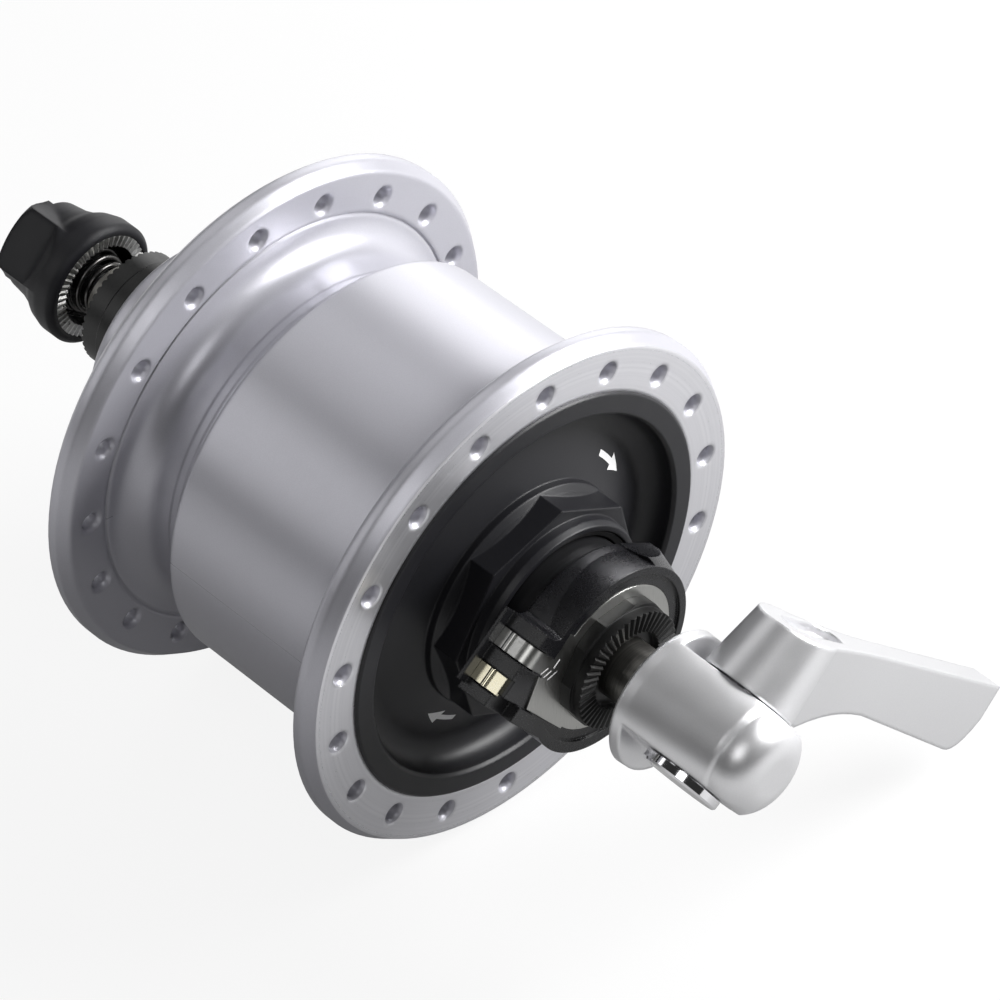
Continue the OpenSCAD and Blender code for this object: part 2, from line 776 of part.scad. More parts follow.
// Rounded end of that outline.
module housing_dome(end_r, dome_r) {
    translate([0, housing_end - dome_r]) {
        square([end_r - dome_r, dome_r]);
        intersection() {
            translate([end_r - dome_r, 0]) circle(dome_r);
            square([end_r, dome_r]);
        }
    }
}

// The housing seen along its flats: the flange stays whole, the end corners are round.
module housing_side_2d() {
    corner = 3;
    translate([-housing_r - past, clamp_face - past])
        square([housing_d + 2 * past, housing_flange - clamp_face + past]);
    translate([-flat_c, clamp_face]) square([housing_flats, housing_l - corner]);
    translate([-flat_c + corner, clamp_face]) square([housing_flats - 2 * corner, housing_l]);
    for (side = [-1, 1]) {
        translate([side * (flat_c - corner), housing_end - corner]) circle(corner);
    }
}

// Cam shaft: bright head, journals in the housing and the eccentric between them.
module cam_shaft() {
    color("#d8d9db") on_axle() rotate(lever_angle) translate([0, 0, pivot]) rotate([0, 90, 0]) {
        translate([0, 0, -flat_c - cam_head_t])
            cylinder(h = cam_head_bevel, r1 = cam_head_r - cam_head_bevel, r2 = cam_head_r);
        translate([0, 0, -flat_c - cam_head_t + cam_head_bevel])
            cylinder(h = cam_head_t - cam_head_bevel - head_gap, r = cam_head_r);
        translate([0, 0, -flat_c - past]) cylinder(h = flat_c + past - eye_c - 0.2, r = journal_r);
        translate([-cam_throw, 0, -eye_c - 0.3]) cylinder(h = 2 * eye_c + 0.6, r = eccentric_r);
        translate([0, 0, eye_c + 0.2]) cylinder(h = hub_foot + 4 - eye_c - 0.2, r = journal_r);
    }
}

// Lever: round tapered hub and a waisted arm that flares to its tip.
module lever() {
    color("#bcbcbf") on_axle() rotate(lever_angle) translate([0, 0, pivot]) difference() {
        union() {
            rotate([0, 90, 0]) translate([0, 0, hub_foot])
                cylinder(h = hub_top + 3 - hub_foot, r1 = hub_foot_r, r2 = hub_top_r);
            intersection() {
                translate([0, 0, -hub_foot_r]) linear_extrude(2 * hub_foot_r) arm_2d();
                rotate([90, 0, 90]) linear_extrude(3 * lever_l) arm_side_2d();
            }
        }
        lever_top() translate([0, -2 * lever_l, -2 * hub_foot_r])
            cube([hub_top, 3 * lever_l, 4 * hub_foot_r]);
        lever_top() translate([-1.4, -7.5, 0]) rotate([90, 0, 90]) linear_extrude(4) slot_2d(8, 2.6);
        rotate([0, 90, 0]) cylinder(h = hub_foot + 4, r = journal_r);
    }
}

// Arm seen along the pivot: as wide as the hub at its root, running into an even thickness.
module arm_side_2d() {
    low = -arm_t / 4;
    high = low + arm_t;
    root_l = 0.36 * lever_l;
    pull = 0.6 * root_l;
    polygon(concat([for (i = [0 : 6]) bend([0, -hub_top_r], [-pull, low], [-root_l, low], i / 6)],
        [[-lever_l - past, low], [-lever_l - past, high]],
        [for (i = [6 : -1 : 0]) bend([0, hub_top_r], [-pull, high], [-root_l, high], i / 6)]));
}

// Frame of the lever's outer edge: X points out of it, -Y runs along the arm.
module lever_top() {
    translate([hub_top, 0, 0]) rotate(arm_rise) children();
}

// Point at t on the curve from a to c that b pulls.
function bend(a, b, c, t) = (1 - t) * (1 - t) * a + 2 * t * (1 - t) * b + t * t * c;

// Arm seen along the axle, with X along the pivot and the tip towards -Y.
module arm_2d() {
    tip = hub_top + lever_l * tan(arm_rise);
    root = [hub_foot + 0.5, -8];
    waist = [hub_foot + arm_waist.x, -arm_waist.y];
    heel = [tip - arm_heel.x, -lever_l + arm_heel.y];
    toe = [tip - arm_toe, -lever_l];
    polygon(concat([[hub_top + 3, 0], [hub_foot + 0.5, 0]],
        [for (i = [0 : 6]) bend(root, [hub_foot + arm_pull.x, -arm_pull.y], waist, i / 6)],
        [for (i = [0 : 6]) bend(heel, [tip - 11.9, -lever_l + 0.2], toe, i / 6)],
        [[tip - 0.4, -lever_l + 1.3], [tip + 3, -lever_l + 1.6]]));
}

// Skewer nut: a round rim, a waisted core and two wings for the fingers.
module skewer_cap() {
    r = cap_d / 2;
    end_wall = 1.2;
    color("#2a2a2e") on_axle_rear() translate([0, 0, clamp_face]) rotate(-cap_angle) difference() {
        union() {
            rotate_extrude() polygon([[0, 0], [r - 0.7, 0], [r, 0.8], [r, 3.4], [r - 0.5, 5.2],
                [r - 1.4, 6.8], [cap_core_r, cap_l - 4], [cap_core_r - 0.4, cap_l - 1],
                [cap_core_r - 1.1, cap_l - 0.3], [cap_core_r - 2.4, cap_l], [0, cap_l]]);
            for (side = [0, 180]) rotate(side) cap_wing(r);
        }
        for (side = [0, 180]) rotate([90, 0, side]) linear_extrude(cap_d, center = true) wing_cut_2d(r);
        translate([0, 0, -past]) cylinder(h = insert_rim_h + past, r = insert_r);
        cylinder(h = insert_l, r = insert_boss_r);
        cylinder(h = cap_l - end_wall, r = rod_r + loose);
    }
}

// Wing of the skewer nut: a piece of a round body with a hollow at both sides.
module cap_wing(r) {
    tip = [wing_flat + 2, wing_half];
    pull = [0.75 * wing_flat, wing_half];
    foot = [0.44 * wing_flat, 0.76 * wing_flat];
    intersection() {
        linear_extrude(cap_l) polygon(concat([[0, 0]], [for (i = [6 : -1 : 0]) bend(tip, pull, foot, i / 6)],
            [for (i = [0 : 6]) let (p = bend(tip, pull, foot, i / 6)) [p[0], -p[1]]]));
        rotate_extrude() polygon([[0, 2], [r - 0.1, 2], [r + 0.2, cap_l - 2.2], [r - 0.5, cap_l - 0.9],
            [r - 1.7, cap_l - 0.2], [r - 3, cap_l], [0, cap_l]]);
    }
}

// What the flat outside of a wing takes away, down to the crease behind the rim.
module wing_cut_2d(r) {
    crease = insert_rim_h + 1;
    start = insert_rim_h / 2;
    polygon([[r + 0.3, start], [wing_flat + 0.6, crease - 1], [wing_flat, crease],
        [wing_flat + 0.4, cap_l + past], [cap_d, cap_l + past], [cap_d, start]]);
}

// Threaded steel insert with the serrated clamping ring round its spring recess.
module skewer_insert() {
    color("#9a9b9e") on_axle_rear() translate([0, 0, clamp_face]) difference() {
        union() {
            cylinder(h = insert_rim_h, r = insert_r);
            cylinder(h = insert_l, r = insert_boss_r);
        }
        translate([0, 0, -past]) cylinder(h = insert_l + 2 * past, r = rod_r + running);
        translate([0, 0, -past]) cylinder(h = insert_recess_h + past, r = insert_recess_r);
        serration_cuts(0, insert_recess_r, insert_r, -1);
    }
}

// Cone spring: one tube of six sides along a widening helix from the axle's end outwards.
spring_sides = 6;
spring_rings = 8;
spring_gap_start = axle_end + 0.1;
rear_spring_turns = 4;
front_spring_turns = 1.75;
rear_spring_end = clamp_face + insert_recess_h - 0.05;
front_spring_end = clamp_face + spring_seat_h - 0.05;
spring_small_r = rod_r + spring_wire / 2 + 0.5;
spring_large_r = insert_recess_r - spring_wire / 2 - 0.4;

// Middle line of a spring: straight run, helix, straight run.
function spring_path(turns, from, to) =
    let (n = round(turns * spring_rings), low = from + spring_wire / 2, high = to - spring_wire / 2,
        helix = [for (i = [0 : n]) let (t = i / n, a = 360 * turns * t,
            r = spring_small_r + (spring_large_r - spring_small_r) * t)
            [r * cos(a), r * sin(a), low + (high - low) * t]],
        last = 360 * turns)
    concat([helix[0] + spring_wire * [0, -1, 0]], helix,
        [helix[n] + spring_wire * [-sin(last), cos(last), 0]]);

// Ring of points round point i of a path, square to the path there.
function spring_ring(path, i) =
    let (n = len(path) - 1, ahead = path[min(i + 1, n)] - path[max(i - 1, 0)], t = ahead / norm(ahead),
        side = cross(t, [0, 0, 1]), u = side / norm(side), v = cross(u, t))
    [for (k = [0 : spring_sides - 1]) let (a = 360 * k / spring_sides)
        path[i] + spring_wire / 2 * (cos(a) * u + sin(a) * v)];

// Least distance between the wire's own turns, measured on the middle line.
function spring_clear(path) = min([for (i = [0 : len(path) - 1], j = [i + 5 : 1 : len(path) - 1])
    norm(path[i] - path[j])]) - spring_wire;

module spring(turns, from, to) {
    path = spring_path(turns, from, to);
    n = len(path);
    echo("least gap of a spring to itself", spring_clear(path));
    points = [for (i = [0 : n - 1]) each spring_ring(path, i)];
    sides = [for (i = [0 : n - 2], k = [0 : spring_sides - 1]) let (a = i * spring_sides + k,
        b = i * spring_sides + (k + 1) % spring_sides)
        each [[a, b, b + spring_sides], [a, b + spring_sides, a + spring_sides]]];
    first = [for (k = [1 : spring_sides - 2]) [0, k + 1, k]];
    base = (n - 1) * spring_sides;
    last = [for (k = [1 : spring_sides - 2]) [base, base + k, base + k + 1]];
    polyhedron(points, concat(sides, first, last));
}

module front_spring() {
    color("#3a3a3c") on_axle() spring(front_spring_turns, spring_gap_start, front_spring_end);
}

module rear_spring() {
    color("#3a3a3c") on_axle_rear() spring(rear_spring_turns, spring_gap_start, rear_spring_end);
}

axle();
front_cone();
rear_cone();
stator_core();
front_claws();
rear_claws();
bobbin();
coil();
stator_sleeve();
stator_nut();
front_dust_cap();
rear_dust_cap();
plug_housing();
terminal_plate();
live_terminal();
front_locknut();
rear_locknut();
hub_shell();
front_cover();
magnet_ring();
for (i = [1 : magnets]) {
    magnet(i);
}
front_cup();
rear_cup();
front_seal();
rear_seal();
front_balls();
front_retainer();
rear_balls();
rear_retainer();
skewer_rod();
cam_housing();
front_spring();
lever();
cam_shaft();
skewer_cap();
skewer_insert();
rear_spring();
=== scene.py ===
import math

import bmesh
import bpy
import numpy as np
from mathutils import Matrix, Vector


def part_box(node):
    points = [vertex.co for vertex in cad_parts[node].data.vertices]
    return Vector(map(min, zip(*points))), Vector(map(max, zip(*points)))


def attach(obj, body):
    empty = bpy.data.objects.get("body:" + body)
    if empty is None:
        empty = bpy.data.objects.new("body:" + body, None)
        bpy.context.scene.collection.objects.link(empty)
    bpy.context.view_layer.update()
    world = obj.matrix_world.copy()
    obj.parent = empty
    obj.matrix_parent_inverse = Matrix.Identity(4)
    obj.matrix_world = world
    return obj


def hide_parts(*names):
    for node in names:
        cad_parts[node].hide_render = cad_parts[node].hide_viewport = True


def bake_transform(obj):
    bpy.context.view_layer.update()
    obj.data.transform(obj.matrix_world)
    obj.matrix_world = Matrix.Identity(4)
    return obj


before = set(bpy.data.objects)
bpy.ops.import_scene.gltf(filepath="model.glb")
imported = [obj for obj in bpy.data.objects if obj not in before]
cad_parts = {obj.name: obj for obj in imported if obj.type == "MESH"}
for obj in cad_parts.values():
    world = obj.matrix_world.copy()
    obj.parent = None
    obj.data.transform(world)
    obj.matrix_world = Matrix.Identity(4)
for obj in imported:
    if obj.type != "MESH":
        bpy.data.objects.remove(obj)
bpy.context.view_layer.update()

# Camera
# A long lens in front of the hub, to its left and above it, far enough away that both flanges
# look almost the same size. The axle runs from the upper left to the lower right.
camera = bpy.data.objects.new("camera", bpy.data.cameras.new("camera"))
camera.data.sensor_fit = "HORIZONTAL"
camera.data.sensor_width = 36
camera.data.lens = 192.64
camera.data.clip_end = 20
look_down = math.radians(44.8558)
look_right = math.radians(44.4656)
camera.location = (-0.35567, -0.38796, 0.52001)
camera.rotation_euler = (math.pi / 2 - look_down, 0, -look_right)
bpy.context.scene.collection.objects.link(camera)
bpy.context.scene.camera = camera


# Axle
# A hollow steel axle turned from bar, darkened by oil. Its two ends stand out of the lock nuts
# and carry the fork. Fine rings of the lathe tool run round it.
class Line:
    """One output of a shader node. Arithmetic on lines and numbers adds Math nodes to its tree."""

    def __init__(self, socket):
        self.socket = socket
        self.tree = socket.id_data

    def node(self, kind, settings, sockets, output=0):
        """Adds a node: first its settings, then values or lines into its sockets. Gives one output."""
        made = self.tree.nodes.new(kind)
        for key, value in settings.items():
            setattr(made, key, value)
        for key, value in sockets.items():
            if isinstance(value, Line):
                self.tree.links.new(value.socket, made.inputs[key])
            else:
                made.inputs[key].default_value = value
        return Line(made.outputs[output])

    def math(self, operation, *values):
        """Adds a Math node with this line as its first value."""
        return self.node("ShaderNodeMath", {"operation": operation}, dict(enumerate((self, *values))))

    def into(self, shader, socket):
        """Links this line to a socket of the shader."""
        self.tree.links.new(self.socket, shader.inputs[socket])

    def __add__(self, other):
        return self.math("ADD", other)

    def __sub__(self, other):
        return self.math("SUBTRACT", other)

    def __rsub__(self, other):
        return self.node("ShaderNodeMath", {"operation": "SUBTRACT"}, {0: other, 1: self})

    def __mul__(self, other):
        return self.math("MULTIPLY", other)

    def __gt__(self, other):
        return self.math("GREATER_THAN", other)

    def __lt__(self, other):
        return self.math("LESS_THAN", other)

    __radd__ = __add__
    __rmul__ = __mul__


def finish(name, colour, metallic, roughness, specular=0.5):
    """New material with these even values, some of which a section then varies: the material, its
    shader and its Object coordinates, which are metres in the hub's own frame on every piece."""
    material = bpy.data.materials.new(name)
    material.use_nodes = True
    shader = material.node_tree.nodes["Principled BSDF"]
    values = {"Base Color": (*colour, 1), "Metallic": metallic, "Roughness": roughness,
              "Specular IOR Level": specular}
    for key, value in values.items():
        shader.inputs[key].default_value = value
    place = material.node_tree.nodes.new("ShaderNodeTexCoord")
    return material, shader, Line(place.outputs["Object"])


def along(place, axis):
    """One coordinate of a point: 0 across, 1 along the axle, 2 up."""
    return place.node("ShaderNodeSeparateXYZ", {}, {0: place}, axis)


def from_axle(place):
    """Distance of a point from the axle: the root of x squared plus z squared."""
    x = along(place, 0)
    z = along(place, 2)
    return (x * x + z * z).math("SQRT")


def lathe_rings(place, scale):
    """Tool marks of a lathe: noise over radius and length alone, so that it runs round the axle."""
    ring = place.node("ShaderNodeCombineXYZ", {}, {0: from_axle(place), 1: along(place, 1), 2: 0.0})
    return place.node("ShaderNodeTexNoise", {"noise_dimensions": "2D"},
                      {"Vector": ring, "Scale": scale, "Detail": 2.0})


def relief(height, depth, strength, rounding=0.00012):
    """Bump of that depth in metres, over edges that are rounded to a radius as a real edge is."""
    edge = height.node("ShaderNodeBevel", {"samples": 6}, {"Radius": rounding})
    return height.node("ShaderNodeBump", {}, {"Height": height, "Distance": depth, "Strength": strength,
                                              "Normal": edge})


def tint(factor, dark, light):
    """Colour that goes from dark to light with the factor."""
    return factor.node("ShaderNodeMix", {"data_type": "RGBA"}, {0: factor, 6: (*dark, 1), 7: (*light, 1)}, 2)


def dress(material, *nodes):
    """Puts the material on all slots of these CAD pieces, whose meshes stay as they are."""
    for name in nodes:
        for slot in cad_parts[name].material_slots:
            slot.material = material


oiled_steel, shader, place = finish("oiled_steel", (0.2, 0.2, 0.2), 1.0, 0.34)
rings = lathe_rings(place, 5200)
tint(rings, (0.13, 0.128, 0.122), (0.30, 0.29, 0.27)).into(shader, "Base Color")
(0.26 + 0.2 * rings).into(shader, "Roughness")
relief(rings, 0.00003, 0.3).into(shader, "Normal")
dress(oiled_steel, "axle")

# Bearings
# Hardened cones and cups, ground bright, with polished balls in brass cages. They are closed in
# by rubber lip seals and only the front seal's lip shows.
ground_steel, shader, place = finish("ground_steel", (0.5, 0.5, 0.52), 1.0, 0.24)
rings = lathe_rings(place, 9000)
tint(rings, (0.42, 0.42, 0.44), (0.62, 0.62, 0.64)).into(shader, "Base Color")
(0.18 + 0.14 * rings).into(shader, "Roughness")
relief(rings, 0.00001, 0.2).into(shader, "Normal")
dress(ground_steel, "front_cone", "rear_cone", "front_cup", "rear_cup")


def speckle(place, scale, detail=2.0):
    """Even noise with grains of one over scale metres."""
    return place.node("ShaderNodeTexNoise", {}, {"Vector": place, "Scale": scale, "Detail": detail})


ball_polish, shader, place = finish("ball_polish", (0.75, 0.75, 0.77), 1.0, 0.06)
smear = speckle(place, 900)
(0.03 + 0.08 * smear).into(shader, "Roughness")
dress(ball_polish, "front_balls", "rear_balls")

cage_brass, shader, place = finish("cage_brass", (0.6, 0.44, 0.18), 1.0, 0.35)
smear = speckle(place, 1400)
tint(smear, (0.5, 0.35, 0.13), (0.7, 0.53, 0.24)).into(shader, "Base Color")
relief(smear, 0.00002, 0.2).into(shader, "Normal")
dress(cage_brass, "front_retainer", "rear_retainer")

lip_rubber, shader, place = finish("lip_rubber", (0.012, 0.012, 0.013), 0.0, 0.6)
grain = speckle(place, 6000)
(0.52 + 0.18 * grain).into(shader, "Roughness")
relief(grain, 0.00002, 0.3).into(shader, "Normal")
dress(lip_rubber, "front_seal", "rear_seal")

# Generator
# Pressed iron claws round a copper winding on a plastic bobbin stand still on the axle. Four dark
# magnets in a steel ring turn round them inside the drum. All of it is hidden in use.
pressed_iron, shader, place = finish("pressed_iron", (0.34, 0.34, 0.36), 1.0, 0.45)
blotch = speckle(place, 700, 5.0)
tint(blotch, (0.24, 0.24, 0.25), (0.44, 0.44, 0.46)).into(shader, "Base Color")
(0.36 + 0.2 * blotch).into(shader, "Roughness")
relief(blotch, 0.00003, 0.25).into(shader, "Normal")
dress(pressed_iron, "stator_core", "front_claws", "rear_claws", "stator_sleeve", "stator_nut", "magnet_ring")

bobbin_plastic, shader, place = finish("bobbin_plastic", (0.72, 0.68, 0.56), 0.0, 0.5)
grain = speckle(place, 3000)
tint(grain, (0.66, 0.62, 0.5), (0.76, 0.72, 0.6)).into(shader, "Base Color")
relief(grain, 0.00002, 0.2).into(shader, "Normal")
dress(bobbin_plastic, "bobbin")

wound_copper, shader, place = finish("wound_copper", (0.55, 0.22, 0.09), 0.9, 0.3)
wire_pitch = 0.0006
# Painted shade: the colour darkens once per wire pitch, in the grooves between the turns, along with the
# bump.
turns = (along(place, 1) * (2 * math.pi / wire_pitch)).math("SINE") * 0.5 + 0.5
tint(turns, (0.24, 0.08, 0.03), (0.62, 0.26, 0.1)).into(shader, "Base Color")
relief(turns, 0.0001, 0.8).into(shader, "Normal")
dress(wound_copper, "coil")

sintered_magnet, shader, place = finish("sintered_magnet", (0.06, 0.06, 0.063), 0.2, 0.55)
grain = speckle(place, 4200, 4.0)
tint(grain, (0.035, 0.035, 0.037), (0.09, 0.09, 0.094)).into(shader, "Base Color")
relief(grain, 0.00003, 0.3).into(shader, "Normal")
dress(sintered_magnet, "magnet_1", "magnet_2", "magnet_3", "magnet_4")

# Shell
# Aluminium, die-cast in one piece with drum, waist and both spoke flanges, lacquered in satin silver
# and turned bare on the front face. A fine seam of the casting die runs along the drum.
silver_lacquer, shader, place = finish("silver_lacquer", (0.52, 0.52, 0.55), 0.4, 0.34, 0.3)
shader.inputs["Coat Weight"].default_value = 0.12
shader.inputs["Coat Roughness"].default_value = 0.2
flake = speckle(place, 7000, 3.0)
peel = speckle(place, 750, 1.0)
turned = lathe_rings(place, 2400)
drum_from, drum_to = 0.0312, 0.0322
seam_at, seam_half = math.radians(176), 0.003
turned_depth = 0.0001
front_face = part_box("hub_shell")[0].y + turned_depth
angle = along(place, 2).math("ARCTAN2", along(place, 0))
radius = from_axle(place)
on_drum = (radius > drum_from) * (radius < drum_to)
seam = ((angle - seam_at).math("ABSOLUTE") < seam_half) * on_drum
bare = along(place, 1) < front_face
paint = tint(flake, (0.465, 0.462, 0.508), (0.575, 0.572, 0.62))
cut = tint(turned, (0.68, 0.678, 0.715), (0.82, 0.818, 0.85))
place.node("ShaderNodeMix", {"data_type": "RGBA"}, {0: bare, 6: paint, 7: cut}, 2).into(shader, "Base Color")
(0.4 + 0.45 * bare).into(shader, "Metallic")
(0.27 + 0.1 * flake + 0.06 * peel - 0.12 * seam + bare * (0.14 * turned - 0.1)).into(shader, "Roughness")
relief(flake * 0.3 + peel * 0.7 + seam * 2.0 + bare * turned, 0.00003, 0.1, 0.0009).into(shader, "Normal")
dress(silver_lacquer, "hub_shell")

# Front cover
# Aluminium pressing in satin black: a flat ring in the shell's seat, a deep round channel, a long
# cone and the octagon that a spanner turns. Two printed arrows show which way the wheel runs.
black_satin, shader, place = finish("black_satin", (0.01, 0.01, 0.011), 0.0, 0.4, 0.35)
grain = speckle(place, 5200, 3.0)
broad = speckle(place, 160, 2.0)
tint(grain, (0.008, 0.008, 0.01), (0.016, 0.016, 0.019)).into(shader, "Base Color")
(0.3 + 0.12 * grain + 0.1 * broad).into(shader, "Roughness")
relief(grain, 0.00002, 0.15, 0.0004).into(shader, "Normal")
dress(black_satin, "front_cover")


def surface(name, points, material):
    """A grid of points, rows by columns by three, as a smooth mesh of quads. Points that meet are
    welded, so that a ring has no open seam and a tip is one point."""
    weld = 1e-7
    rows, columns, _ = points.shape
    corner = np.arange(rows * columns).reshape(rows, columns)
    quads = np.stack([corner[:-1, :-1], corner[1:, :-1], corner[1:, 1:], corner[:-1, 1:]], -1)
    mesh = bpy.data.meshes.new(name)
    mesh.from_pydata(points.reshape(-1, 3).tolist(), [], quads.reshape(-1, 4).tolist())
    welded = bmesh.new()
    welded.from_mesh(mesh)
    bmesh.ops.remove_doubles(welded, verts=welded.verts, dist=weld)
    welded.to_mesh(mesh)
    welded.free()
    mesh.polygons.foreach_set("use_smooth", np.ones(len(mesh.polygons), bool))
    mesh.materials.append(material)
    piece = bpy.data.objects.new(name, mesh)
    bpy.context.scene.collection.objects.link(piece)
    return piece


print_white, shader, place = finish("print_white", (0.88, 0.88, 0.88), 0.0, 0.55)
worn = speckle(place, 3500, 3.0)
tint(worn, (0.8, 0.8, 0.8), (0.95, 0.95, 0.95)).into(shader, "Base Color")
relief(worn, 0.00001, 0.3).into(shader, "Normal")


def cone_height(radius):
    """Y of the cover's cone at a radius, in metres: it falls evenly from the foot of the octagon."""
    foot_y, foot_radius, slope = -0.0294, 0.016544, 0.3356
    return foot_y + slope * (radius - foot_radius)


def arrow(name, middle, tail, neck, tip):
    """Arrow bent round the axle on the cone, between angles in degrees. Across it runs v from -1 to 1,
    times a half width that is even on the shaft, jumps at the neck and falls to nothing at the tip."""
    shaft_half, head_half, lift = 0.00045, 0.00125, 0.00003
    shaft_steps, head_steps, jump = 12, 14, 0.001
    shaft = np.linspace(tail, neck, shaft_steps)
    head = np.linspace(neck + jump * (tip - neck), tip, head_steps)
    half = np.concatenate([np.full(shaft_steps, shaft_half), head_half * (head - tip) / (neck - tip)])
    across = np.linspace(-1, 1, 5)
    radius = middle + half[:, None] * across[None, :]
    turn = np.radians(np.concatenate([shaft, head]))[:, None]
    height = cone_height(radius) - lift
    points = np.stack([radius * np.cos(turn), height, radius * np.sin(turn)], -1)
    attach(surface(name, points, print_white), "shell_body")


arrow("arrow_upper", middle=0.0217, tail=39.0, neck=29.0, tip=21.0)
arrow("arrow_lower", middle=0.0208, tail=-122.5, neck=-132.5, tip=-140.6)

# Dust caps
# Thin black steel caps pressed on the cones' tails. The front one is the neck between the cover's
# collar and the plug, with the rings of its drawing die.
black_cap, shader, place = finish("black_cap", (0.01, 0.01, 0.011), 0.0, 0.36, 0.35)
rings = lathe_rings(place, 2600)
tint(rings, (0.006, 0.006, 0.007), (0.015, 0.015, 0.016)).into(shader, "Base Color")
(0.26 + 0.2 * rings).into(shader, "Roughness")
relief(rings, 0.00004, 0.3).into(shader, "Normal")
dress(black_cap, "front_dust_cap", "rear_dust_cap")

# Plug
# Moulded black block on the axle with a pressed plate over it. The plate's tongue is the earth
# terminal, a second strip beside it is the live one. Three strokes and a stem mark the earth side.
moulded_black, shader, place = finish("moulded_black", (0.008, 0.008, 0.01), 0.0, 0.32, 0.4)
grain = speckle(place, 4600, 3.0)
flow = speckle(place, 240, 2.0)
tint(grain, (0.005, 0.005, 0.006), (0.011, 0.011, 0.013)).into(shader, "Base Color")
(0.18 + 0.1 * grain + 0.1 * flow).into(shader, "Roughness")
relief(grain, 0.00002, 0.04, 0.0003).into(shader, "Normal")
dress(moulded_black, "plug_housing")

plate_zinc, shader, place = finish("plate_zinc", (0.48, 0.48, 0.46), 1.0, 0.32)
brush = place.node("ShaderNodeTexNoise", {}, {
    "Vector": place.node("ShaderNodeVectorMath", {"operation": "MULTIPLY"}, {0: place, 1: (4.0, 1.0, 0.25)}),
    "Scale": 1500.0, "Detail": 3.0})
tint(brush, (0.4, 0.4, 0.385), (0.56, 0.56, 0.54)).into(shader, "Base Color")
(0.22 + 0.2 * brush).into(shader, "Roughness")
relief(brush, 0.00002, 0.2).into(shader, "Normal")
dress(plate_zinc, "terminal_plate")


def stroke(name, start, end):
    """Printed line on the plate's face between two points in metres from the axle, in the plug's own
    turned plane. Points run evenly from start to end, and v from -1 to 1 times a half width across."""
    line_half, lift, plug_turn = 0.00011, 0.00002, math.radians(126.9)
    plate_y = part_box("terminal_plate")[0].y - lift
    start = np.array(start)
    ahead = np.array(end) - start
    side = np.array([-ahead[1], ahead[0]]) / np.hypot(ahead[0], ahead[1])
    share = np.linspace(0, 1, 9)[:, None, None]
    across = np.linspace(-1, 1, 3)[None, :, None]
    flat = start + share * ahead + line_half * across * side
    out, over = flat[..., 0], flat[..., 1]
    points = np.stack([out * math.cos(plug_turn) - over * math.sin(plug_turn), np.full(out.shape, plate_y),
                       out * math.sin(plug_turn) + over * math.cos(plug_turn)], -1)
    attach(surface(name, points, print_white), "axle_body")


stroke("earth_line_outer", (0.0130, 0.0066), (0.0123, 0.0054))
stroke("earth_line_middle", (0.0119, 0.0068), (0.0112, 0.0055))
stroke("earth_line_inner", (0.0107, 0.0068), (0.0099, 0.0052))
stroke("earth_stem", (0.01112, 0.00505), (0.01108, 0.00362))

terminal_tin, shader, place = finish("terminal_tin", (0.66, 0.62, 0.48), 1.0, 0.22)
brush = speckle(place, 3000, 3.0)
tint(brush, (0.55, 0.51, 0.36), (0.76, 0.72, 0.58)).into(shader, "Base Color")
(0.14 + 0.16 * brush).into(shader, "Roughness")
relief(brush, 0.00001, 0.2).into(shader, "Normal")
dress(terminal_tin, "live_terminal")

# Lock nuts
# Steel nuts, blackened, with a ring of radial serrations that bites into the fork end. The front one
# is low, with flats for a spanner, and the rear one tall and round.
black_oxide, shader, place = finish("black_oxide", (0.012, 0.012, 0.012), 0.2, 0.38, 0.4)
grain = speckle(place, 2600, 4.0)
tint(grain, (0.006, 0.006, 0.006), (0.02, 0.02, 0.02)).into(shader, "Base Color")
(0.28 + 0.2 * grain).into(shader, "Roughness")
relief(grain, 0.00003, 0.2).into(shader, "Normal")
dress(black_oxide, "front_locknut", "rear_locknut")

# Skewer
# Drawn steel rod through the hollow axle, threaded at the far end, with the cam's eye at the near
# end inside the housing.
drawn_steel, shader, place = finish("drawn_steel", (0.5, 0.5, 0.52), 1.0, 0.28)
rings = lathe_rings(place, 3000)
tint(rings, (0.4, 0.4, 0.42), (0.58, 0.58, 0.6)).into(shader, "Base Color")
(0.2 + 0.16 * rings).into(shader, "Roughness")
relief(rings, 0.00002, 0.2).into(shader, "Normal")
dress(drawn_steel, "skewer_rod")

# Quick release
# Housing and lever are forged aluminium, bead blasted and satin plated, so they are bright with a
# soft grain. The cam shaft's round head between the flats is polished chrome.
satin_plate, shader, place = finish("satin_plate", (0.8, 0.8, 0.815), 0.8, 0.38)
blast = speckle(place, 5200, 3.0)
broad = speckle(place, 300, 2.0)
tint(blast, (0.76, 0.76, 0.775), (0.84, 0.84, 0.855)).into(shader, "Base Color")
(0.33 + 0.05 * blast + 0.06 * broad).into(shader, "Roughness")
relief(blast, 0.00001, 0.05, 0.0008).into(shader, "Normal")
dress(satin_plate, "cam_housing", "lever")

bright_chrome, shader, place = finish("bright_chrome", (0.8, 0.8, 0.82), 1.0, 0.07)
smear = speckle(place, 1200, 3.0)
(0.03 + 0.1 * smear).into(shader, "Roughness")
dress(bright_chrome, "cam_shaft")

# Skewer nut
# Black nut with two wings for the fingers, a plated steel insert with its serrated ring, and the
# cone spring that keeps the nut off the axle's end.
grip_black, shader, place = finish("grip_black", (0.009, 0.009, 0.011), 0.0, 0.45, 0.3)
grain = speckle(place, 5200, 3.0)
broad = speckle(place, 220, 2.0)
tint(grain, (0.006, 0.006, 0.008), (0.012, 0.012, 0.015)).into(shader, "Base Color")
(0.36 + 0.14 * grain + 0.08 * broad).into(shader, "Roughness")
relief(grain, 0.00002, 0.12, 0.0014).into(shader, "Normal")
dress(grip_black, "skewer_cap")

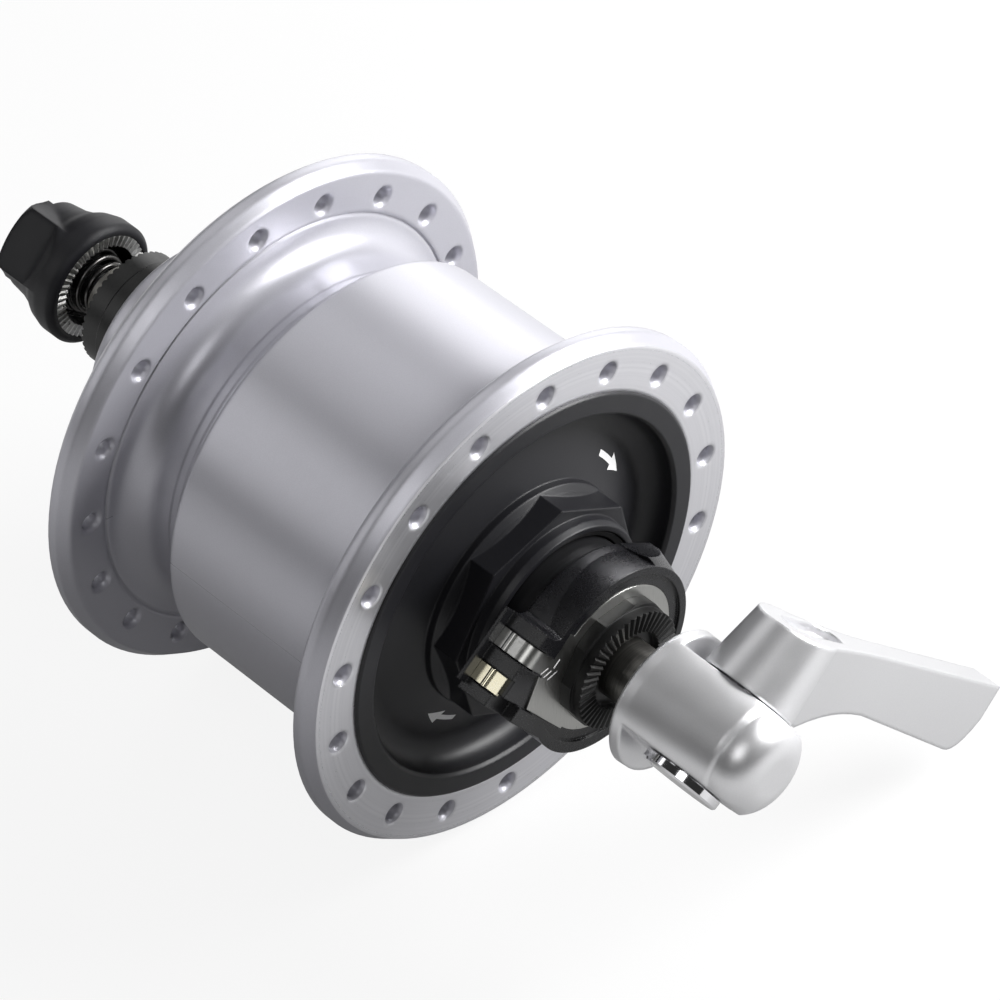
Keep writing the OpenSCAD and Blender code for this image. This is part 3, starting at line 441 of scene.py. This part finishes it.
plated_insert, shader, place = finish("plated_insert", (0.5, 0.5, 0.48), 1.0, 0.3)
smear = speckle(place, 2200, 4.0)
# Painted shade: inside the serrated ring the insert's recess is coloured near black, and the ring keeps the
# plated colour.
painted_shade_recess_r = 0.0065
ring = from_axle(place) > painted_shade_recess_r
tint(ring * (0.5 + 0.5 * smear), (0.05, 0.05, 0.05), (0.7, 0.7, 0.68)).into(shader, "Base Color")
(0.2 + 0.2 * smear).into(shader, "Roughness")
relief(smear, 0.00002, 0.2).into(shader, "Normal")
dress(plated_insert, "skewer_insert")

spring_wire, shader, place = finish("spring_wire", (0.1, 0.1, 0.1), 1.0, 0.3)
drawn = speckle(place, 2600, 3.0)
tint(drawn, (0.06, 0.06, 0.06), (0.16, 0.155, 0.15)).into(shader, "Base Color")
(0.2 + 0.2 * drawn).into(shader, "Roughness")
dress(spring_wire, "front_spring", "rear_spring")


def cone_spring(name, node, turns, end):
    """Wire of a cone spring along Y: a helix whose radius and height grow evenly with its angle, with
    a circle of wire carried square to it. It runs from just past the axle's end to the given end."""
    small, large, wire, gap = 0.0034, 0.00565, 0.0004, 0.0001
    steps_per_turn, end_steps, sides = 48, 2, 16
    share = np.linspace(0, 1, round(turns * steps_per_turn))
    toward = math.copysign(1, end)
    start = toward * (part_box("axle")[1].y + gap)
    turn = 2 * math.pi * turns * share * -toward
    radius = small + (large - small) * share
    height = start + toward * wire + (end - start - 2 * toward * wire) * share
    middle = np.stack([radius * np.cos(turn), height, radius * np.sin(turn)], -1)
    ahead = np.gradient(middle, axis=0)
    ahead /= np.linalg.norm(ahead, axis=1, keepdims=True)
    side = np.cross(ahead, [0.0, 1.0, 0.0])
    side /= np.linalg.norm(side, axis=1, keepdims=True)
    third = np.cross(side, ahead)
    ring = np.linspace(0, 2 * math.pi, sides + 1)[None, :, None]
    step = np.arange(len(share))
    cut_end = np.clip(1 - np.minimum(step, step[::-1]) / end_steps, 0, 1)
    thick = wire * np.sqrt(1 - cut_end ** 2)
    out = np.cos(ring) * side[:, None] + np.sin(ring) * third[:, None]
    points = middle[:, None] + thick[:, None, None] * out
    piece = surface(name, points, spring_wire)
    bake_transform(piece)
    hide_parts(node)


cone_spring("rear_cone_spring", "rear_spring", turns=4, end=0.06015)
cone_spring("front_cone_spring", "front_spring", turns=1.75, end=-0.05695)

# Floor and light
# A plain white floor under the flanges. Mirrored in the hub it carries a painted shadow close by, where the
# hub would shade it. Five soft lamps stand in a dim room: right, front, overhead, behind on the left and
# near.
floor_mesh = bpy.data.meshes.new("floor")
reach = 4.0
clearance = 0.0002
flange_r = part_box("hub_shell")[1].x
low = -flange_r - clearance
corners = [(-reach, -reach, low), (reach, -reach, low), (reach, reach, low), (-reach, reach, low)]
floor_mesh.from_pydata(corners, [], [(0, 1, 2, 3)])
floor = bpy.data.objects.new("floor", floor_mesh)
bpy.context.scene.collection.objects.link(floor)
floor_white, shader, place = finish("floor_white", (0.8, 0.8, 0.8), 0.0, 0.8)
floor_mesh.materials.append(floor_white)
across = along(place, 0)
ahead = along(place, 1)
shade_reach, shade_rise, least = 0.04, 8.0, 0.16
paper_share = 0.88
# Painted shadow: as glossy and transmission rays see it, the floor's white falls off towards the hub, down
# to the least share.
painted_shadow_fade = ((across * across + ahead * ahead).math("SQRT") - shade_reach) * shade_rise
painted_shadow_fade = painted_shadow_fade.math("MAXIMUM", least).math("MINIMUM", 1.0)
seen = place.node("ShaderNodeLightPath", {}, {}, "Is Camera Ray")
# To all but camera rays the floor is a darker grey, which dims the light it throws up onto the hub.
tint(seen, (0.25, 0.25, 0.25), (0.8, 0.8, 0.8)).into(shader, "Base Color")
for ray in ("Is Glossy Ray", "Is Transmission Ray"):
    seen = seen.math("MAXIMUM", painted_shadow_fade * place.node("ShaderNodeLightPath", {}, {}, ray))
paper = place.node("ShaderNodeEmission", {}, {"Color": (1, 1, 1, 1), "Strength": 1.0})
both = place.node("ShaderNodeMixShader", {}, {0: seen * paper_share, 1: Line(shader.outputs[0]), 2: paper})
both.into(floor_white.node_tree.nodes["Material Output"], "Surface")


def soft_light(name, at, width, height, power):
    """Rectangular lamp at a place in metres that faces the hub."""
    lamp = bpy.data.lights.new(name, "AREA")
    lamp.shape = "RECTANGLE"
    lamp.size = width
    lamp.size_y = height
    lamp.energy = power
    stand = bpy.data.objects.new(name, lamp)
    stand.location = at
    distance = math.dist(at, (0, 0, 0))
    stand.rotation_euler = (math.acos(at[2] / distance), 0, math.atan2(at[1], at[0]) + math.pi / 2)
    bpy.context.scene.collection.objects.link(stand)


soft_light("right_light", (0.27, 0.17, 0.10), 0.22, 0.22, 0.34)
soft_light("front_light", (0.26, -0.19, 0.185), 0.19, 0.19, 2.4)
soft_light("top_light", (0.02, 0.20, 0.33), 0.25, 0.25, 0.17)
soft_light("back_light", (-0.24, 0.2, 0.20), 0.2, 0.24, 0.24)
soft_light("near_light", (-0.25, -0.25, 0.35), 0.2, 0.2, 0.34)

room = bpy.data.worlds.new("room")
room.use_nodes = True
glow = room.node_tree.nodes["Background"].inputs
glow["Color"].default_value = (1, 1, 1, 1)
glow["Strength"].default_value = 0.03
bpy.context.scene.world = room
bpy.context.scene.view_settings.view_transform = "Standard"
